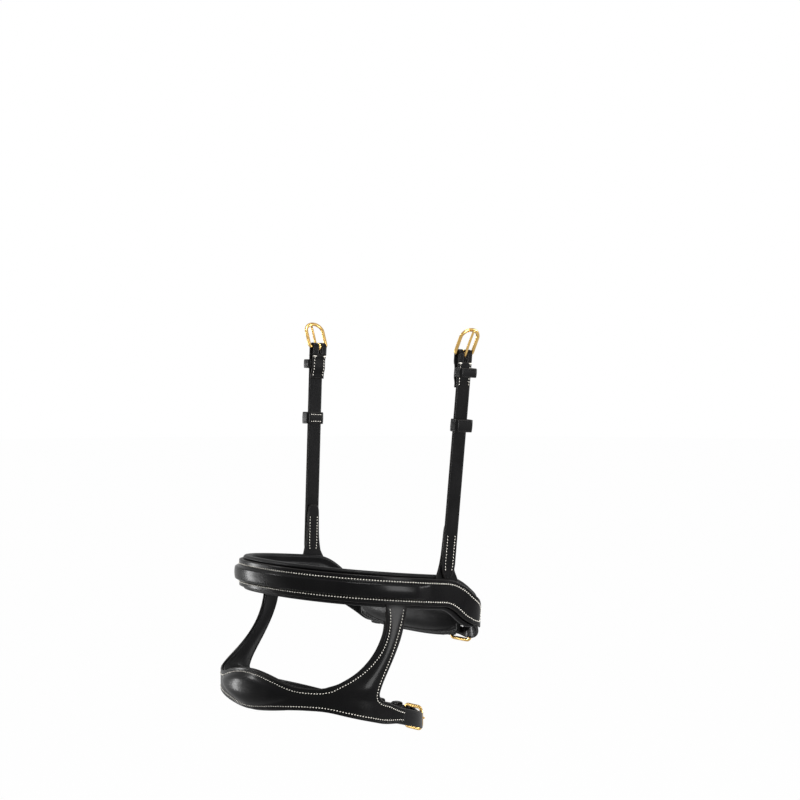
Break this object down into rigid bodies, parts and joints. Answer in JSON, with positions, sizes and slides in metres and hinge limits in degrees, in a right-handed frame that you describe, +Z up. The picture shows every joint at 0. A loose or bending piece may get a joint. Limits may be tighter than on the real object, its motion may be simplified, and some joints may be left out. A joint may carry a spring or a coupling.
{
  "type": "double noseband",
  "caption": "Padded leather noseband for a horse with a second, lower band joined by side straps, both buckled behind the jaw, on cheek straps with brass buckles.",
  "frame": {"origin": "halfway between the heel bars of the two cheek buckles", "axes": "+Z up, +X to the horse's left, -Y towards the front of the nose"},
  "size_m": [0.243, 0.2188, 0.3755],
  "materials": {
    "black_leather": "smooth, softly shining black",
    "lining_leather": "soft black, padded",
    "filler_felt": "felt inside the raised leather",
    "brass": "polished"
  },
  "bodies": {
    "noseband": {"cheek_strap_left": "black_leather", "cheek_tab_left": "black_leather", "cheek_fixed_keeper_left": "black_leather", "cheek_strap_right": "black_leather", "cheek_tab_right": "black_leather", "cheek_fixed_keeper_right": "black_leather", "nose_band_outer": "black_leather", "nose_band_filler": "filler_felt", "nose_band_backing": "black_leather", "nose_band_lining": "lining_leather", "lower_yoke_outer": "black_leather", "lower_yoke_lining": "lining_leather", "lower_nose_filler": "filler_felt", "lower_nose_pad": "lining_leather", "jaw_fixed_keeper": "black_leather", "jaw_strap": "black_leather", "jaw_billet": "black_leather", "chin_fixed_keeper": "black_leather", "chin_strap": "black_leather", "chin_billet": "black_leather"},
    "cheek_frame_left": {"cheek_buckle_frame_left": "brass"},
    "cheek_tongue_left": {"cheek_buckle_tongue_left": "brass"},
    "cheek_keeper_left": {"cheek_runner_keeper_left": "black_leather"},
    "cheek_frame_right": {"cheek_buckle_frame_right": "brass"},
    "cheek_tongue_right": {"cheek_buckle_tongue_right": "brass"},
    "cheek_keeper_right": {"cheek_runner_keeper_right": "black_leather"},
    "jaw_frame": {"jaw_buckle_frame": "brass"},
    "jaw_tongue": {"jaw_buckle_tongue": "brass"},
    "jaw_keeper": {"jaw_runner_keeper": "black_leather"},
    "chin_frame": {"chin_buckle_frame": "brass"},
    "chin_tongue": {"chin_buckle_tongue": "brass"},
    "chin_keeper": {"chin_runner_keeper": "black_leather"},
    "jaw_cushion": {"jaw_pad": "lining_leather", "jaw_pad_sleeve": "black_leather"}
  },
  "joints": [
    {"name": "cheek_frame_turn_left", "type": "hinge", "parent": "noseband", "child": "cheek_frame_left", "pos_m": [0.107, 0, 0.00004], "axis": [0.0005, 0.9976, -0.0699], "range_deg": [-80, 38]},
    {"name": "cheek_tongue_lift_left", "type": "hinge", "parent": "cheek_frame_left", "child": "cheek_tongue_left", "pos_m": [0.107, 0, 0.00004], "axis": [0.0005, 0.9976, -0.0699], "range_deg": [0, 55]},
    {"name": "cheek_keeper_slide_left", "type": "slide", "parent": "noseband", "child": "cheek_keeper_left", "axis": [0.0417, 0.0698, 0.9967], "range_m": [-0.06, 0.024]},
    {"name": "cheek_frame_turn_right", "type": "hinge", "parent": "noseband", "child": "cheek_frame_right", "pos_m": [-0.107, 0, 0.00004], "axis": [0.0005, -0.9976, 0.0699], "range_deg": [-80, 38]},
    {"name": "cheek_tongue_lift_right", "type": "hinge", "parent": "cheek_frame_right", "child": "cheek_tongue_right", "pos_m": [-0.107, 0, 0.00004], "axis": [0.0005, -0.9976, 0.0699], "range_deg": [0, 55]},
    {"name": "cheek_keeper_slide_right", "type": "slide", "parent": "noseband", "child": "cheek_keeper_right", "axis": [-0.0417, 0.0698, 0.9967], "range_m": [-0.06, 0.024]},
    {"name": "jaw_frame_play", "type": "hinge", "parent": "noseband", "child": "jaw_frame", "pos_m": [0.0465, 0.0399, -0.25773], "axis": [0, 0, 1], "range_deg": [0, 8]},
    {"name": "jaw_tongue_lift", "type": "hinge", "parent": "jaw_frame", "child": "jaw_tongue", "pos_m": [0.0465, 0.0399, -0.25773], "axis": [0, 0, 1], "range_deg": [0, 35]},
    {"name": "jaw_keeper_slide", "type": "slide", "parent": "noseband", "child": "jaw_keeper", "axis": [1, 0, 0], "range_m": [-0.006, 0.005]},
    {"name": "chin_frame_play", "type": "hinge", "parent": "noseband", "child": "chin_frame", "pos_m": [0.038, -0.0095, -0.3403], "axis": [0, 0, 1], "range_deg": [0, 8]},
    {"name": "chin_tongue_lift", "type": "hinge", "parent": "chin_frame", "child": "chin_tongue", "pos_m": [0.038, -0.0095, -0.3403], "axis": [0, 0, 1], "range_deg": [0, 35]},
    {"name": "chin_keeper_slide", "type": "slide", "parent": "noseband", "child": "chin_keeper", "axis": [1, 0, 0], "range_m": [-0.008, 0.003]},
    {"name": "jaw_pad_slide", "type": "slide", "parent": "noseband", "child": "jaw_cushion", "axis": [1, 0, 0], "range_m": [-0.006, 0.006]}
  ]
}
